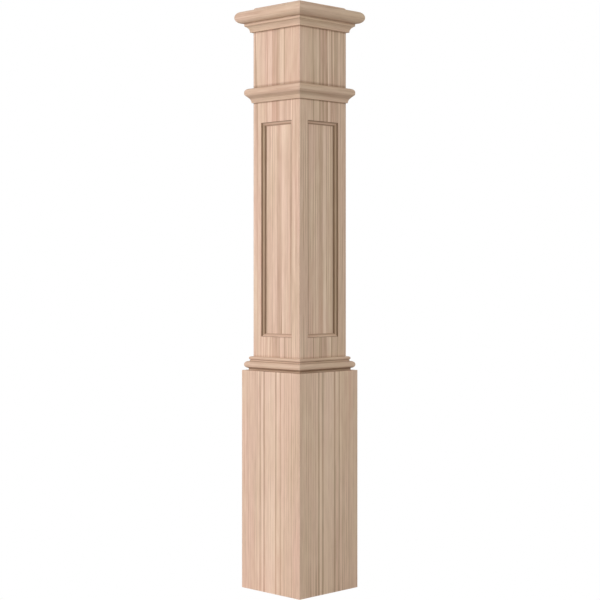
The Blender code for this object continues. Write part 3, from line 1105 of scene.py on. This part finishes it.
class NEWEL_OT_cap_coves(bpy.types.Operator):
    """Build the cove moulding under the cap"""

    bl_idname = "newel.cap_coves"
    bl_label = "Cap coves"

    def execute(self, context):
        post = context.scene.newel_post
        outline = eased(cove_outline(post.cap, SHAFT_HALF + HAIR_LINE), MOULDING_EASE)
        # Painted shade along the cove's top, under the bullnose
        crease_shades = ((HEIGHT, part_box("cap_cove_front")[1].z, *COVE_TOP_PAINTED_SHADE),)
        finishes = moulding_finishes("cap_cove", post.wood, crease_shades)
        ring_mouldings("cap_cove", outline, finishes)
        return {"FINISHED"}


class NEWEL_OT_cap_bullnoses(bpy.types.Operator):
    """Build the half-round moulding of the cap"""

    bl_idname = "newel.cap_bullnoses"
    bl_label = "Cap bullnoses"

    def execute(self, context):
        post = context.scene.newel_post
        outline = distinct(bullnose_outline(post.cap, SHAFT_HALF + CAD_GAP))
        finishes = moulding_finishes("cap_bullnose", post.wood)
        ring_mouldings("cap_bullnose", outline, finishes)
        return {"FINISHED"}


class NEWEL_OT_top_panel(bpy.types.Operator):
    """Build the lid that closes the shaft"""

    bl_idname = "newel.top_panel"
    bl_label = "Top panel"

    def execute(self, context):
        post = context.scene.newel_post
        seed = SEEDS["lid"]
        finish = wood_finish("lid_grain", 0, post.wood, seed, lying=True, figure=LID_FIGURE)
        make_piece("top_panel", lid_points(post.boards), finish)
        return {"FINISHED"}


def show(tree, lit, seen, output):
    """Let the first shader light the post and the camera see the second one instead."""
    is_seen = add(tree, "ShaderNodeLightPath", {}).outputs["Is Camera Ray"]
    both = {0: is_seen, 1: lit.outputs[0], 2: seen.outputs[0]}
    mixed = add(tree, "ShaderNodeMixShader", both)
    tree.links.new(mixed.outputs[0], tree.nodes[output].inputs["Surface"])


class NEWEL_OT_stage(bpy.types.Operator):
    """Set the pale floor, the soft light and the camera"""

    bl_idname = "newel.stage"
    bl_label = "Stage"

    def execute(self, context):
        scene = context.scene
        look = scene.newel_post.stage
        scene.view_settings.view_transform = "Standard"

        mesh = bpy.data.meshes.new("floor")
        reach = FLOOR_REACH
        corners = [(-reach, -reach, 0), (reach, -reach, 0), (reach, reach, 0), (-reach, reach, 0)]
        mesh.from_pydata(corners, [], [(0, 1, 2, 3)])
        floor = bpy.data.objects.new("floor", mesh)
        scene.collection.objects.link(floor)
        paint = bpy.data.materials.new("pale_floor")
        paint.use_nodes = True
        tree = paint.node_tree
        tree.nodes.remove(tree.nodes["Principled BSDF"])
        matte = add(tree, "ShaderNodeBsdfDiffuse", {"Color": (*look.floor, 1)})
        glow = add(tree, "ShaderNodeEmission", {"Color": WHITE, "Strength": 1.0})
        show(tree, matte, glow, "Material Output")
        mesh.materials.append(paint)

        world = bpy.data.worlds.new("studio")
        world.use_nodes = True
        tree = world.node_tree
        air = tree.nodes["Background"]
        air.inputs["Color"].default_value = (*SKY_COLOUR, 1)
        way = add(tree, "ShaderNodeTexCoord", {}).outputs["Generated"]
        height = add(tree, "ShaderNodeSeparateXYZ", {0: way}).outputs[2]
        strength = ranged(tree, height, 0.0, DIM_FROM, look.sky, look.sky * look.zenith)
        tree.links.new(strength, air.inputs["Strength"])
        backdrop = add(tree, "ShaderNodeBackground", {"Color": WHITE, "Strength": 1.0})
        show(tree, air, backdrop, "World Output")
        scene.world = world

        lamp = bpy.data.lights.new("key", "AREA")
        lamp.shape = "RECTANGLE"
        lamp.size = KEY_SIZE
        lamp.size_y = KEY_SIZE
        lamp.energy = look.key
        lamp.color = KEY_COLOUR
        key = bpy.data.objects.new("key", lamp)
        key.location = KEY_PLACE
        aim = Vector(KEY_AIM) - key.location
        key.rotation_euler = aim.to_track_quat("-Z", "Y").to_euler()
        scene.collection.objects.link(key)

        lens = bpy.data.cameras.new("camera")
        lens.lens = look.lens
        lens.sensor_width = SENSOR_WIDTH
        lens.shift_x = look.shift_x
        lens.shift_y = look.shift_y
        camera = bpy.data.objects.new("camera", lens)
        place = look.distance * math.sqrt(0.5)
        camera.location = (place, -place, look.eye)
        camera.rotation_euler = (math.radians(90), 0, math.radians(45))
        scene.collection.objects.link(camera)
        scene.camera = camera
        return {"FINISHED"}


OPERATORS = (
    NEWEL_OT_shaft_boards,
    NEWEL_OT_block_boards,
    NEWEL_OT_recessed_panels,
    NEWEL_OT_panel_mouldings,
    NEWEL_OT_base_mouldings,
    NEWEL_OT_neckings,
    NEWEL_OT_cap_coves,
    NEWEL_OT_cap_bullnoses,
    NEWEL_OT_top_panel,
    NEWEL_OT_stage,
)


class NEWEL_PT_panel(bpy.types.Panel):
    """Buttons and sizes of the newel post"""

    bl_idname = "NEWEL_PT_panel"
    bl_label = "Newel post"
    bl_space_type = "VIEW_3D"
    bl_region_type = "UI"
    bl_category = "Newel post"

    def draw(self, context):
        layout = self.layout
        for operator in OPERATORS:
            layout.operator(operator.bl_idname)
        post = context.scene.newel_post
        for group in ("boards", "base", "necking", "cap", "strips", "wood", "stage"):
            part = getattr(post, group)
            box = layout.box()
            box.label(text=part.bl_rna.description)
            for name in part.__annotations__:
                box.prop(part, name)


CLASSES = (
    BoardSizes,
    BaseMouldingSizes,
    NeckingSizes,
    CapSizes,
    PanelMouldingSizes,
    WoodLook,
    StageLook,
    NewelPost,
    *OPERATORS,
    NEWEL_PT_panel,
)


def register():
    for made in CLASSES:
        bpy.utils.register_class(made)
    bpy.types.Scene.newel_post = PointerProperty(type=NewelPost)


def unregister():
    del bpy.types.Scene.newel_post
    for made in reversed(CLASSES):
        bpy.utils.unregister_class(made)


def main():
    register()
    bpy.ops.newel.shaft_boards()
    bpy.ops.newel.block_boards()
    bpy.ops.newel.recessed_panels()
    bpy.ops.newel.panel_mouldings()
    bpy.ops.newel.base_mouldings()
    bpy.ops.newel.neckings()
    bpy.ops.newel.cap_coves()
    bpy.ops.newel.cap_bullnoses()
    bpy.ops.newel.top_panel()
    bpy.ops.newel.stage()


if __name__ == "__main__":
    main()
